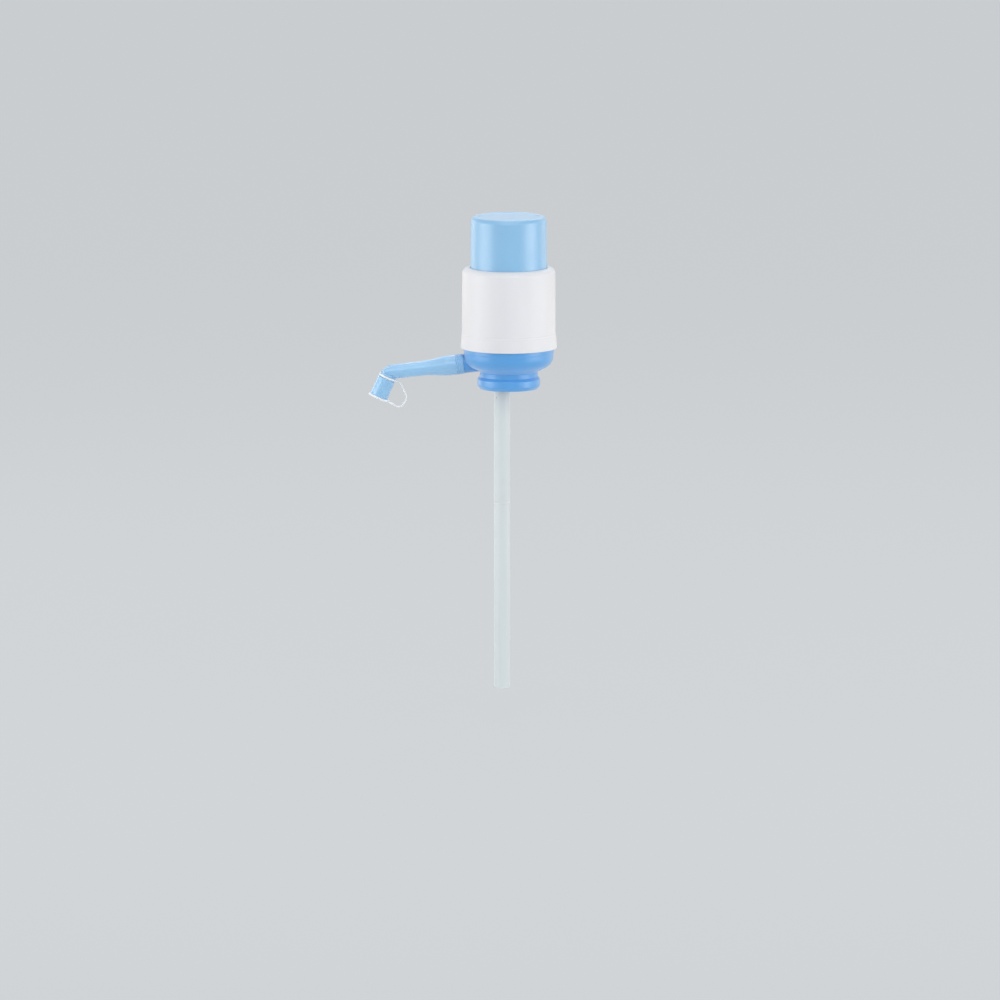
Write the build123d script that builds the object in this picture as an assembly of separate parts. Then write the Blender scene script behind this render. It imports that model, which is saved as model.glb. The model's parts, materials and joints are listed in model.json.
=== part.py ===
from build123d import *
from math import atan, cos, pi, radians, sin, sqrt, tan
import os

# Hand-pressed pump for a large water bottle. Pressing the cap squeezes a bellows, the bellows pushes air
# into the bottle, and the water rises through the dip tube and the gallery in the base to the spout.
# Millimetres, +Z up. The origin is on the axis of the bottle's neck, at the height of the neck's rim.
# The spout points to -X.

# Bottle neck that the skirt clips over, and the seal on its rim
crown_diameter = 55.0
crown_height = 6.5
crown_clearance = 0.25
lip_catch = 1.6
lip_height = 2.6
lip_wall = 1.5
lip_lead_in = 0.5
skirt_wall = 1.95
seal_bore = 40.0
seal_radius = 25.2
seal_clearance = 0.2
seal_thickness = 2.5
seal_stand_proud = 0.3

# Base housing
neck_wall = 1.9
neck_shoulder_height = 2.4
neck_top = 7.0
deck_thickness = 2.5
bowl_radius = 42.3
bowl_wall = 2.2
bowl_corner_height = 14.8
bowl_rounding = 12.0
bowl_band_height = 4.0
bowl_band_step = 0.3
ledge_height = 26.6
ledge_width = 2.0
ledge_thickness = 1.0
air_hole_radius = 3.0
air_hole_offset = 10.0

# Body sleeve and the tongue of the base that holds it
sleeve_bottom = 29.6
sleeve_top = 106.2
sleeve_wall = 2.2
sleeve_clearance = 0.2
sleeve_draft = 0.2
sleeve_shoulder = 6.25
sleeve_lip_flare = 1.3
sleeve_edge = 0.4
sleeve_rim_width = 5.4
sleeve_band_height = 13.1
sleeve_band_step = 0.3
tongue_height = 11.0
lug_width = 9.0
lug_height = 3.0
lug_depth = 0.7
lug_drop = 2.75
guide_count = 3
guide_width = 2.4
guide_depth = 1.6

# Press cap
cap_draft = 0.4
cap_top = 154.8
cap_wall = 2.0
cap_rounding = 5.0
cap_rim_width = 6.5
cap_dish_depth = 0.6
cap_side_gap = 0.55
cap_flange_gap = 0.5
cap_flange_thickness = 2.5
cap_flange_clearance = 0.4
push_rib_count = 6
push_rib_inner = 8.0
push_rib_outer = 24.0
push_rib_wall = 1.6
push_rib_height = 3.7

# Valve plate, its gasket and its screws
gasket_thickness = 1.0
plate_thickness = 2.5
plate_clearance = 0.3
screw_count = 3
screw_radius = 1.5
screw_head_radius = 3.0
screw_head_height = 2.0
screw_length = 12.0
screw_clearance = 0.05
boss_radius = 3.4
boss_gap = 0.3
boss_rib = 1.6
part_gap = 0.1
weld = 0.5

# Bellows, its head and the return spring
bellows_screw_gap = 2.8
bellows_fold_depth = 5.3
bellows_wall = 1.0
bellows_folds = 4
bellows_crest = 0.55
cuff_height = 6.0
cuff_wall = 1.6
clamp_wall = 1.8
clamp_height = 4.0
head_thickness = 2.5
head_overhang = 0.8
spring_radius = 12.8
spring_wire = 1.8
spring_turns = 5
wire_sides = 6
spring_nub_count = 4
spring_nub_depth = 1.6
spring_nub_width = 5.0
spring_nub_height = 2.5

# Umbrella valves
valve_stem = 1.9
valve_bulb = 2.9
valve_bulb_height = 2.4
valve_lip = 0.6
valve_crown = 1.2
valve_flat = 4.6
valve_radius = 9.2
port_count = 6
port_radius = 1.8
port_circle = 5.6

# Water passage
gallery_bore = 4.4
gallery_wall = 1.8
dip_tube_offset = -6.3
dip_tube_radius = 7.75
dip_tube_bore = 6.15
dip_tube_end = -295.0
dip_tube_joint = -118.5
plug_length = 14.0
plug_clearance = 0.05
connector_flange = 1.4
connector_wall = 1.3

# Spout, measured outwards from the mouth of its socket
socket_stand_out = 0.3
socket_below_ledge = 12.5
socket_radius = 8.9
socket_bore = 6.9
socket_depth = 14.0
socket_floor = 2.0
tenon_clearance = 0.05
tenon_lead_in = 0.7
spout_droop = 6.4
spout_root_length = 17.0
spout_root_radius = 9.5
spout_taper_length = 35.0
spout_radius = 6.9
spout_reach = 70.5
grip_groove_place = 7.5
grip_groove_width = 0.8
grip_groove_depth = 0.35
spout_seal_place = 8.0
spout_seal_width = 2.2
spout_seal_depth = 1.1

# Nozzle and dust cap, measured along the nozzle from the elbow
nozzle_droop = 66.2
elbow_bevel = 5.45
nozzle_radius = 6.7
nozzle_length = 22.0
nozzle_tip = 1.0
collar_place = 2.7
collar_height = 1.5
collar_radius = 8.3
strap_ring_height = 2.0
dust_cap_rim = 6.6
dust_cap_length = 19.3
dust_cap_clearance = 0.08
dust_cap_wall = 1.62
dust_cap_draft = 0.3
dust_cap_edge = 0.3

# Strap that ties the dust cap to the spout
strap_width = 4.0
strap_thickness = 1.2
strap_tab_width = 6.0
strap_tab_thickness = 2.2
strap_tab_length = 7.5
strap_sag = 1.2
strap_low_reach = 23.2
strap_far_reach = 25.4
strap_far_place = 16.0
strap_high_reach = 13.5
strap_bends = (6.0, 7.0, 4.0)
end_cup_height = 2.6
end_cup_wall = 1.2
end_cup_edge = 0.5
end_cup_floor = 0.9
strap_gap = 0.15

# Large round corners are cut into this many straight faces.
# A long drafted side has this height and draft or more.
corner_cuts = 4
drafted_side = 10.0
least_draft = 0.1

# Radii and heights that follow from the sizes above
groove_radius = crown_diameter / 2 + crown_clearance
lip_radius = crown_diameter / 2 - lip_catch
skirt_radius = groove_radius + skirt_wall
recess_radius = seal_radius + seal_clearance
neck_radius = recess_radius + neck_wall
deck_top = seal_thickness + deck_thickness
bowl_bore = bowl_radius - bowl_wall
bowl_slope = (bowl_corner_height - neck_top) / (bowl_radius - neck_radius)
bowl_side_low = bowl_corner_height + bowl_rounding / 2
bowl_floor_radius = bowl_bore - bowl_rounding / 2
screw_circle = bowl_bore - ledge_width - boss_gap - boss_radius
seam_height = sleeve_bottom - sleeve_clearance
tongue_radius = bowl_radius - 2 * sleeve_clearance
tongue_top = sleeve_bottom + tongue_height
lug_low = tongue_top - lug_drop - lug_height
lug_angle = 180 / guide_count
sleeve_bore = tongue_radius + sleeve_clearance
sleeve_radius = sleeve_bore + sleeve_wall
sleeve_ceiling = sleeve_top - sleeve_wall
guide_tip = sleeve_bore - guide_depth
cap_radius = sleeve_bore - sleeve_rim_width - cap_side_gap
cap_flange_top = sleeve_ceiling - cap_flange_gap
cap_bottom = cap_flange_top - cap_flange_thickness
cap_flange_radius = sleeve_bore - cap_flange_clearance
cap_ceiling = cap_top - cap_dish_depth - cap_wall
plate_bottom = ledge_height + gasket_thickness
plate_top = plate_bottom + plate_thickness
head_top = cap_ceiling - push_rib_height
head_bottom = head_top - head_thickness
bellows_valley = screw_circle - screw_head_radius - bellows_screw_gap - clamp_wall - part_gap
bellows_radius = bellows_valley + bellows_fold_depth
head_radius = bellows_valley + head_overhang
cuff_radius = bellows_valley - bellows_wall - part_gap
gallery_radius = gallery_bore + gallery_wall
plug_radius = dip_tube_bore - plug_clearance
tenon_radius = socket_bore - tenon_clearance
strap_ring_place = collar_place + collar_height + part_gap
dust_cap_end = dust_cap_rim + dust_cap_length
dust_cap_bore = nozzle_radius + dust_cap_clearance
dust_cap_radius = dust_cap_bore + dust_cap_wall
end_cup_bore = dust_cap_radius + dust_cap_draft + strap_gap
end_cup_end = dust_cap_end + strap_gap + end_cup_floor

# Places along the spout, out of its socket, and along the nozzle, down from the elbow
spout_way = Vector(-cos(radians(spout_droop)), 0, -sin(radians(spout_droop)))
nozzle_way = Vector(-cos(radians(nozzle_droop)), 0, -sin(radians(nozzle_droop)))
nozzle_side = Vector(sin(radians(nozzle_droop)), 0, -cos(radians(nozzle_droop)))
bevel_way = (Vector(spout_way.Z, 0, -spout_way.X) - nozzle_side).normalized()
socket_x = -bowl_radius - socket_stand_out
socket_z = ledge_height - socket_below_ledge
socket_mouth = Vector(socket_x, 0, socket_z)
elbow = socket_mouth + spout_way * spout_reach
along_spout = Plane(origin=socket_mouth, x_dir=(0, 1, 0), z_dir=spout_way)
along_nozzle = Plane(origin=elbow, x_dir=nozzle_side, z_dir=nozzle_way)
beside_nozzle = Plane(origin=elbow, x_dir=nozzle_side, z_dir=(0, 1, 0))
gallery_run = (dip_tube_offset - socket_x) / cos(radians(spout_droop))
gallery_end_height = socket_z + (dip_tube_offset - socket_x) * tan(radians(spout_droop))


def rounded(before, corner, after, rounding):
    """Points that take the place of a corner: an arc cut into a few straight stretches."""
    way_back = (before - corner).normalized()
    way_on = (after - corner).normalized()
    half = radians(way_back.get_angle(way_on)) / 2
    turn = pi - 2 * half
    centre = corner + (way_back + way_on).normalized() * (rounding / sin(half))
    start = corner + way_back * (rounding / tan(half)) - centre
    end = corner + way_on * (rounding / tan(half)) - centre
    steps = [turn * number / corner_cuts for number in range(corner_cuts + 1)]
    return [centre + (start * sin(turn - step) + end * sin(step)) / sin(turn) for step in steps]


def side(start, end):
    """Straight stretch of an outline. A high drafted one is a curve of one span and stays one face."""
    drafted = abs(end.X - start.X) > least_draft and abs(end.Y - start.Y) > drafted_side
    return Bezier(start, end) if drafted else Line(start, end)


def turned(*corners):
    """Solid turned about Z from a closed outline of (radius, height) or (radius, height, rounding)."""
    points = []
    for number, corner in enumerate(corners):
        here = Vector(*corner[:2])
        before = Vector(*corners[number - 1][:2])
        after = Vector(*corners[(number + 1) % len(corners)][:2])
        points += rounded(before, here, after, corner[2]) if len(corner) > 2 else [here]
    outline = Wire([side(start, end) for start, end in zip(points, points[1:] + points[:1])])
    return revolve(Plane.XZ * make_face(outline), Axis.Z)


def rod(radius, low, high, x=0):
    """Upright cylinder between two heights."""
    return Pos(x, 0, (low + high) / 2) * Cylinder(radius, high - low)


def ring(outer, inner, low, high):
    """Upright ring of square section between two heights."""
    return rod(outer, low, high) - rod(inner, low, high)


def block(inner, outer, width, low, high, angle):
    """Block that stands between two radii and two heights, turned to an angle."""
    box = Box(outer - inner, width, high - low)
    return Rot(0, 0, angle) * Pos((inner + outer) / 2, 0, (low + high) / 2) * box


def angles(count, first=0):
    """Angles spread evenly round the main axis."""
    return [first + 360 / count * number for number in range(count)]


def around(count, radius, shape, first=0):
    """Copies of a shape spread evenly round the main axis."""
    return [Rot(0, 0, angle) * Pos(radius, 0, 0) * shape for angle in angles(count, first)]


def bowl_height_inside(radius):
    """Height of the bowl's inner cone at a radius."""
    lift = bowl_wall * sqrt(1 + bowl_slope**2)
    return neck_top + (radius - neck_radius) * bowl_slope + lift


def base_wall():
    """Skirt, neck, deck, bowl and tongue of the base as one turned wall."""
    skirt_foot = -crown_height - lip_height
    band_low = seam_height - bowl_band_height
    return turned(
        (lip_radius + lip_lead_in, skirt_foot),
        (lip_radius + lip_wall, skirt_foot),
        (skirt_radius, lip_lead_in - crown_height),
        (skirt_radius, neck_shoulder_height - skirt_radius + neck_radius),
        (neck_radius, neck_shoulder_height),
        (neck_radius, neck_top),
        (bowl_radius, bowl_corner_height, bowl_rounding),
        (bowl_radius, band_low),
        (bowl_radius + bowl_band_step, band_low + bowl_band_step),
        (bowl_radius + bowl_band_step, seam_height),
        (tongue_radius, seam_height),
        (tongue_radius, tongue_top),
        (bowl_bore, tongue_top),
        (bowl_bore, ledge_height),
        (bowl_bore - ledge_width, ledge_height),
        (bowl_bore - ledge_width, ledge_height - ledge_thickness),
        (bowl_bore, ledge_height - ledge_thickness - ledge_width),
        (bowl_bore, bowl_side_low),
        (bowl_floor_radius, bowl_height_inside(bowl_floor_radius)),
        (recess_radius, bowl_height_inside(recess_radius)),
        (recess_radius, deck_top),
        (0, deck_top),
        (0, seal_thickness),
        (recess_radius, seal_thickness),
        (recess_radius, seal_stand_proud),
        (groove_radius, seal_stand_proud),
        (groove_radius, -crown_height),
        (lip_radius, -crown_height - lip_catch / 2),
        (lip_radius, skirt_foot + lip_lead_in),
    )


def bowl_space():
    """Everything inside the outer face of the bowl, used to trim what stands in it."""
    return turned(
        (0, deck_top - weld),
        (recess_radius + weld, deck_top - weld),
        (recess_radius + weld, bowl_height_inside(recess_radius) - weld),
        (bowl_floor_radius, bowl_height_inside(bowl_floor_radius) - weld),
        (bowl_bore + weld, bowl_side_low - weld),
        (bowl_bore + weld, plate_bottom),
        (0, plate_bottom),
    )


def base_housing():
    """Blue moulding that clips on the bottle and carries the sleeve, the valve plate and the spout."""
    boss_top = plate_bottom - part_gap
    bosses = around(screw_count, screw_circle, rod(boss_radius, deck_top, boss_top))
    rib_top = ledge_height - ledge_thickness
    ribs = [
        block(screw_circle, bowl_bore + weld, boss_rib, deck_top, rib_top, angle)
        for angle in angles(screw_count)
    ]
    socket = along_spout * rod(socket_radius, -socket_depth - socket_floor, 0)
    gallery = along_spout * rod(gallery_radius, -gallery_run, -socket_depth)
    riser_top = gallery_end_height + gallery_radius
    riser = rod(gallery_radius, seal_thickness, riser_top, dip_tube_offset)
    spigot = rod(plug_radius, seal_thickness - plug_length, deck_top, dip_tube_offset)
    lugs = [
        block(bowl_bore + weld, tongue_radius + lug_depth, lug_width, lug_low, lug_low + lug_height, angle)
        for angle in angles(guide_count, lug_angle)
    ]
    body = base_wall() + (Compound(bosses + ribs) & bowl_space())
    body = body + [socket, gallery, riser, spigot] + lugs
    pilot = rod(screw_radius + screw_clearance, plate_top - screw_length, plate_top)
    bores = [
        along_spout * rod(socket_bore, -socket_depth, socket_depth),
        along_spout * rod(gallery_bore, -gallery_run, -socket_depth),
        rod(gallery_bore, seal_thickness - plug_length, gallery_end_height, dip_tube_offset),
        rod(air_hole_radius, seal_thickness, deck_top, air_hole_offset),
    ]
    return body - around(screw_count, screw_circle, pilot) - bores


def neck_seal():
    """Flat rubber ring between the bottle's rim and the deck."""
    return ring(seal_radius, seal_bore / 2, 0, seal_thickness)


def body_sleeve():
    """White sleeve over the tongue, with guide ribs and an inward lip that keeps the cap in."""
    lip = sleeve_radius + sleeve_lip_flare
    band_top = sleeve_bottom + sleeve_band_height
    opening = sleeve_bore - sleeve_rim_width
    wall = turned(
        (sleeve_bore, sleeve_bottom),
        (lip - sleeve_edge, sleeve_bottom),
        (lip, sleeve_bottom + sleeve_edge),
        (sleeve_radius + sleeve_band_step, band_top),
        (sleeve_radius, band_top + sleeve_band_step),
        (sleeve_radius - sleeve_draft, sleeve_top, sleeve_shoulder),
        (opening + sleeve_edge, sleeve_top),
        (opening, sleeve_top - sleeve_edge),
        (opening, sleeve_ceiling),
        (sleeve_bore, sleeve_ceiling),
    )
    guides = [
        block(guide_tip, sleeve_bore + weld, guide_width, tongue_top + part_gap, sleeve_ceiling, angle)
        for angle in angles(guide_count)
    ]
    low = lug_low - sleeve_clearance
    high = lug_low + lug_height + sleeve_clearance
    reach = tongue_radius + lug_depth + sleeve_clearance
    pockets = [
        block(bowl_bore, reach, lug_width + 2 * sleeve_clearance, low, high, angle)
        for angle in angles(guide_count, lug_angle)
    ]
    return wall + guides - pockets


def press_cap():
    """Light blue cap that the hand presses, with a flange that runs along the sleeve's guide ribs."""
    side_draft = cap_draft / (cap_top - sleeve_top)
    foot = cap_radius + side_draft * (sleeve_top - cap_flange_top)
    rim = cap_radius - cap_draft
    wall = turned(
        (foot - cap_wall, cap_bottom),
        (cap_flange_radius, cap_bottom),
        (cap_flange_radius, cap_flange_top),
        (foot, cap_flange_top),
        (rim, cap_top, cap_rounding),
        (rim - cap_rim_width, cap_top),
        (rim - cap_rim_width - 2 * cap_dish_depth, cap_top - cap_dish_depth),
        (0, cap_top - cap_dish_depth),
        (0, cap_ceiling),
        (rim - cap_wall, cap_ceiling),
    )
    ribs = [
        block(push_rib_inner, push_rib_outer, push_rib_wall, head_top, cap_ceiling + weld, angle)
        for angle in angles(push_rib_count)
    ]
    notches = [
        block(
            guide_tip - cap_flange_clearance,
            sleeve_bore,
            guide_width + 2 * cap_flange_clearance,
            cap_bottom - part_gap,
            cap_flange_top + part_gap,
            angle,
        )
        for angle in angles(guide_count)
    ]
    return wall + ribs - notches


def plate_gasket():
    """Rubber ring that seals the valve plate on the ledge of the bowl."""
    return ring(plate_radius(), bowl_bore - ledge_width, ledge_height, plate_bottom)


def plate_radius():
    """Outer radius of the valve plate and its gasket."""
    return bowl_bore - plate_clearance


def spring_nubs(low, high):
    """Nubs that stand inside the end of the return spring and keep it central."""
    outer = spring_radius - spring_wire / 2 - 2 * part_gap
    inner = outer - spring_nub_depth
    return [block(inner, outer, spring_nub_width, low, high, angle) for angle in angles(spring_nub_count)]


def valve_holes(low, high):
    """Stem hole and air ports under an umbrella valve."""
    ports = around(port_count, port_circle, rod(port_radius, low, high))
    return [rod(valve_stem + part_gap, low, high)] + ports


def valve_plate():
    """Plate that closes the bellows at the bottom and carries the delivery valve."""
    plate = rod(plate_radius(), plate_bottom, plate_top)
    cuff = ring(cuff_radius, cuff_radius - cuff_wall, plate_top, plate_top + cuff_height)
    nubs = spring_nubs(plate_top, plate_top + spring_nub_height)
    screw_holes = around(screw_count, screw_circle, rod(screw_radius + part_gap, plate_bottom, plate_top))
    return plate + cuff + nubs - screw_holes - valve_holes(plate_bottom, plate_top)


def plate_screws():
    """Screws that hold the valve plate down on the bosses of the base."""
    head = rod(screw_head_radius, plate_top, plate_top + screw_head_height)
    shank = rod(screw_radius, plate_top - screw_length + screw_radius, plate_top)
    return Compound(around(screw_count, screw_circle, head + shank))


def umbrella_valve(seat, thickness):
    """Rubber valve below a plate: thin disc, stem through the plate and the bulb that holds it."""
    top = seat + thickness
    return turned(
        (0, seat - valve_crown),
        (valve_flat, seat - valve_crown),
        (valve_radius, seat - valve_lip),
        (valve_radius, seat),
        (valve_stem, seat),
        (valve_stem, top),
        (valve_bulb, top),
        (valve_stem, top + valve_bulb_height),
        (0, top + valve_bulb_height),
    )


def delivery_valve():
    """Lets air out of the bellows into the bottle."""
    return umbrella_valve(plate_bottom, plate_thickness)


def intake_valve():
    """Lets fresh air into the bellows as the cap rises."""
    return umbrella_valve(head_bottom, head_thickness)


def bellows_side(inset):
    """One face of the bellows' wall, from the bottom cuff to the top cuff, set in from the outside."""
    valley = bellows_valley - inset
    crest = bellows_radius - inset
    low = plate_top + cuff_height
    fold = (head_bottom - cuff_height - low) / bellows_folds
    half = fold * bellows_crest / 2 - inset
    points = [(valley, plate_top + part_gap)]
    for number in range(bellows_folds):
        middle = low + fold * (number + 0.5)
        points += [(valley, middle - half), (crest, middle - half)]
        points += [(crest, middle + half), (valley, middle + half)]
    points.append((valley, head_bottom - part_gap))
    return points


def bellows():
    """Folded air chamber between the valve plate and the head."""
    return turned(*bellows_side(0), *reversed(bellows_side(bellows_wall)))


def bellows_clamp():
    """Band that grips the bottom cuff of the bellows on the valve plate."""
    inner = bellows_valley + part_gap
    low = plate_top + (cuff_height - clamp_height) / 2
    return ring(inner + clamp_wall, inner, low, low + clamp_height)


def bellows_head():
    """Disc that closes the bellows at the top, under the push rib of the cap."""
    disc = rod(head_radius, head_bottom, head_top)
    cuff = ring(cuff_radius, cuff_radius - cuff_wall, head_bottom - cuff_height, head_bottom)
    nubs = spring_nubs(head_bottom - spring_nub_height, head_bottom)
    return disc + cuff + nubs - valve_holes(head_bottom, head_top)


def half_turn(radius, pitch, number):
    """Two tangent arcs that follow one half turn of a coil."""
    hand = 1 if number % 2 == 0 else -1
    climb = pitch / (2 * pi * radius)
    start = Vector(hand * radius, 0, number * pitch / 2)
    end = Vector(-hand * radius, 0, (number + 1) * pitch / 2)
    start_way = Vector(0, hand, climb).normalized()
    end_way = Vector(0, -hand, climb).normalized()
    chord = end - start
    ways = start_way + end_way
    spread = 2 * (1 - start_way.dot(end_way))
    reach = (sqrt(chord.dot(ways) ** 2 + spread * chord.dot(chord)) - chord.dot(ways)) / spread
    middle = (start + end + (start_way - end_way) * reach) / 2
    middle_way = (middle - start - start_way * reach).normalized()
    return [Edge.make_tangent_arc(start, start_way, middle), Edge.make_tangent_arc(middle, middle_way, end)]


def return_spring():
    """Coil inside the bellows that lifts the cap again."""
    low = plate_top + spring_wire / 2 + part_gap
    high = head_bottom - spring_wire / 2 - part_gap
    pitch = (high - low) / spring_turns
    arcs = [arc for number in range(2 * spring_turns) for arc in half_turn(spring_radius, pitch, number)]
    path = Wire(arcs)
    section = Plane(origin=path @ 0, z_dir=path % 0) * RegularPolygon(spring_wire / 2, wire_sides)
    return Pos(0, 0, low) * sweep(section, path=path, clean=False)


def dip_tube(low, high):
    """One length of the clear dip tube."""
    return Pos(dip_tube_offset, 0, 0) * ring(dip_tube_radius, dip_tube_bore, low, high)


def upper_dip_tube():
    """Length that pushes over the spigot of the base."""
    return dip_tube(dip_tube_joint + connector_flange / 2, seal_thickness - part_gap)


def lower_dip_tube():
    """Length that reaches down into the bottle."""
    return dip_tube(dip_tube_end, dip_tube_joint - connector_flange / 2)


def tube_connector():
    """Nipple that joins the two lengths of dip tube."""
    low = dip_tube_joint - connector_flange / 2
    high = dip_tube_joint + connector_flange / 2
    nipple = rod(plug_radius, low - plug_length, high + plug_length)
    flange = rod(dip_tube_radius, low, high)
    bore = rod(plug_radius - connector_wall, low - plug_length, high + plug_length)
    return Pos(dip_tube_offset, 0, 0) * (nipple + flange - bore)


def spout_barrel():
    """Turned part of the spout: tenon with its seal groove, root and slender end."""
    seal_floor = tenon_radius - spout_seal_depth
    seal_near = -spout_seal_place
    seal_far = seal_near - spout_seal_width
    taper_corner = spout_root_length + spout_taper_length / 2
    taper = atan((spout_root_radius - spout_radius) / (spout_taper_length / 2))
    taper_rounding = 0.97 * spout_taper_length / 2 / tan(taper / 2)
    return turned(
        (0, part_gap - socket_depth),
        (tenon_radius - tenon_lead_in, part_gap - socket_depth),
        (tenon_radius, part_gap - socket_depth + tenon_lead_in),
        (tenon_radius, seal_far),
        (seal_floor, seal_far),
        (seal_floor, seal_near),
        (tenon_radius, seal_near),
        (tenon_radius, part_gap),
        (spout_root_radius, part_gap),
        (spout_root_radius, grip_groove_place),
        (spout_root_radius - grip_groove_depth, grip_groove_place + grip_groove_width / 2),
        (spout_root_radius, grip_groove_place + grip_groove_width),
        (spout_root_radius, spout_root_length),
        (spout_radius, taper_corner, taper_rounding),
        (spout_radius, spout_reach),
        (0, spout_reach),
    )


def spout_nozzle():
    """Turned end of the spout that points down, with the collar above the strap's ring."""
    return turned(
        (0, 0),
        (nozzle_radius, 0),
        (nozzle_radius, collar_place),
        (collar_radius, collar_place),
        (collar_radius, collar_place + collar_height),
        (nozzle_radius, collar_place + collar_height),
        (nozzle_radius, nozzle_length - nozzle_tip),
        (nozzle_radius - nozzle_tip / 2, nozzle_length),
        (0, nozzle_length),
    )


def beyond_bevel():
    """Block over the flat bevel on the outside of the elbow."""
    size = 3 * spout_radius
    bevel = Plane(origin=elbow + bevel_way * elbow_bevel, x_dir=(0, 1, 0), z_dir=bevel_way)
    return bevel * Pos(0, 0, size / 2) * Box(size, size, size)


def spout_tube():
    """Blue spout that turns in the socket of the base."""
    outside = along_spout * spout_barrel() + Pos(elbow) * Sphere(spout_radius) + along_nozzle * spout_nozzle()
    straight_bore = along_spout * rod(gallery_bore, -socket_depth, spout_reach)
    nozzle_bore = along_nozzle * rod(gallery_bore, 0, nozzle_length)
    return outside - beyond_bevel() - straight_bore - Pos(elbow) * Sphere(gallery_bore) - nozzle_bore


def spout_seal():
    """Rubber ring in the groove of the spout's tenon."""
    inner = tenon_radius - spout_seal_depth + tenon_clearance / 2
    outer = socket_bore - tenon_clearance / 2
    middle = -spout_seal_place - spout_seal_width / 2
    half = spout_seal_width / 2 - part_gap
    return along_spout * turned(
        (inner, middle - half),
        (outer, middle - half),
        (outer, middle + half),
        (inner, middle + half),
    )


def dust_cap():
    """Blue cup that closes the nozzle."""
    return along_nozzle * turned(
        (dust_cap_bore, dust_cap_rim),
        (dust_cap_radius - dust_cap_edge, dust_cap_rim),
        (dust_cap_radius, dust_cap_rim + dust_cap_edge),
        (dust_cap_radius + dust_cap_draft, dust_cap_end),
        (0, dust_cap_end),
        (0, dust_cap_end - dust_cap_wall),
        (dust_cap_bore, dust_cap_end - dust_cap_wall),
    )


def strap_end_cup():
    """Shallow flared cup of the strap that grips the closed end of the dust cap."""
    outer = end_cup_bore + end_cup_wall
    return along_nozzle * turned(
        (end_cup_bore, end_cup_end - end_cup_height),
        (end_cup_bore + end_cup_edge, end_cup_end - end_cup_height),
        (outer, end_cup_end - end_cup_floor),
        (outer, end_cup_end),
        (0, end_cup_end),
        (0, end_cup_end - end_cup_floor),
        (end_cup_bore, end_cup_end - end_cup_floor),
    )


def cap_strap():
    """Soft clear moulding: end cup on the dust cap, strap, and ring on the nozzle."""
    ring_end = strap_ring_place + strap_ring_height
    anchor = along_nozzle * ring(collar_radius, nozzle_radius + strap_gap, strap_ring_place, ring_end)
    ring_middle = strap_ring_place + strap_ring_height / 2
    route = FilletPolyline(
        (end_cup_bore + end_cup_wall / 2, end_cup_end - strap_tab_thickness / 2),
        (strap_low_reach, end_cup_end + strap_sag),
        (strap_far_reach, strap_far_place),
        (strap_high_reach, ring_middle),
        (nozzle_radius + strap_gap + (collar_radius - nozzle_radius) / 2, ring_middle),
        radius=strap_bends,
    )
    path = beside_nozzle * route
    print("strap length", round(path.length, 1))
    start = Plane(origin=path @ 0, x_dir=(0, 1, 0), z_dir=path % 0)
    tab_end = start.offset(strap_tab_length)
    strap = sweep(start * Rectangle(strap_width, strap_thickness), path=path)
    root = start * Rectangle(strap_tab_width, strap_tab_thickness)
    tab = loft([root, tab_end * Rectangle(strap_width, strap_thickness)])
    return anchor + strap + tab + strap_end_cup()


SUB_PARTS = [
    base_housing,
    neck_seal,
    body_sleeve,
    press_cap,
    plate_gasket,
    valve_plate,
    plate_screws,
    delivery_valve,
    bellows,
    bellows_clamp,
    bellows_head,
    intake_valve,
    return_spring,
    upper_dip_tube,
    tube_connector,
    lower_dip_tube,
    spout_tube,
    spout_seal,
    dust_cap,
    cap_strap,
]

os.makedirs("parts", exist_ok=True)
for sub_part in SUB_PARTS:
    export_step(Compound(sub_part().solids()), f"parts/{sub_part.__name__}.step")
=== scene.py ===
import json
from math import cos, pi, radians, sin, tan

import bmesh
import bpy
from mathutils import Matrix, Vector


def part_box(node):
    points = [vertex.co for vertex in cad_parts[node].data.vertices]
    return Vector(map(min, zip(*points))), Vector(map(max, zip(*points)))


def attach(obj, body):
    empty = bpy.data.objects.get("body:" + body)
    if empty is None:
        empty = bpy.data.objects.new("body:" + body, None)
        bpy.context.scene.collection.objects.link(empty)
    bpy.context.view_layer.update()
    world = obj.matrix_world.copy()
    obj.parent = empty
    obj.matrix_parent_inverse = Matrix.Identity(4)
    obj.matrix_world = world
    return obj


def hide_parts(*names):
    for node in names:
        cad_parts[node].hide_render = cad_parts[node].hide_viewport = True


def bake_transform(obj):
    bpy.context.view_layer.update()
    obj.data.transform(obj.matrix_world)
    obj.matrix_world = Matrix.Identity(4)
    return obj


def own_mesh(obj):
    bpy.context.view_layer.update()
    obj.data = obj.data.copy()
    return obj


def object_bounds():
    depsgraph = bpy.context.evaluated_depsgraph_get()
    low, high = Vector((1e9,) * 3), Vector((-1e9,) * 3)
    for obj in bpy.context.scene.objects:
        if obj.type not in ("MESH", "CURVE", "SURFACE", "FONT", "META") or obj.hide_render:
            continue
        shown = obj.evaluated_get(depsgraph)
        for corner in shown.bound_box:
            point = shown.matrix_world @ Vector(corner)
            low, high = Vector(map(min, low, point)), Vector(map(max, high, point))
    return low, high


# Looks of a hand-pressed water pump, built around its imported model. Profiles are in millimetres, as pairs
# of radius and height, and become metres in the meshes.

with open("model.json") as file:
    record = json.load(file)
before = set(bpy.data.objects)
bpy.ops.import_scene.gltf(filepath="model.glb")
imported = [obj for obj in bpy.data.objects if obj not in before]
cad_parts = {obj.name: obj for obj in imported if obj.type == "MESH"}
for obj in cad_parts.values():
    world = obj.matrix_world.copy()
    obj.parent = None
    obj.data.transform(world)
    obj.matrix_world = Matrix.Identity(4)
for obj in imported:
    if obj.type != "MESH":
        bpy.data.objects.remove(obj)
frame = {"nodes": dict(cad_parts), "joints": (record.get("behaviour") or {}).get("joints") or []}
model_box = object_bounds()

MM = 0.001

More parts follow.
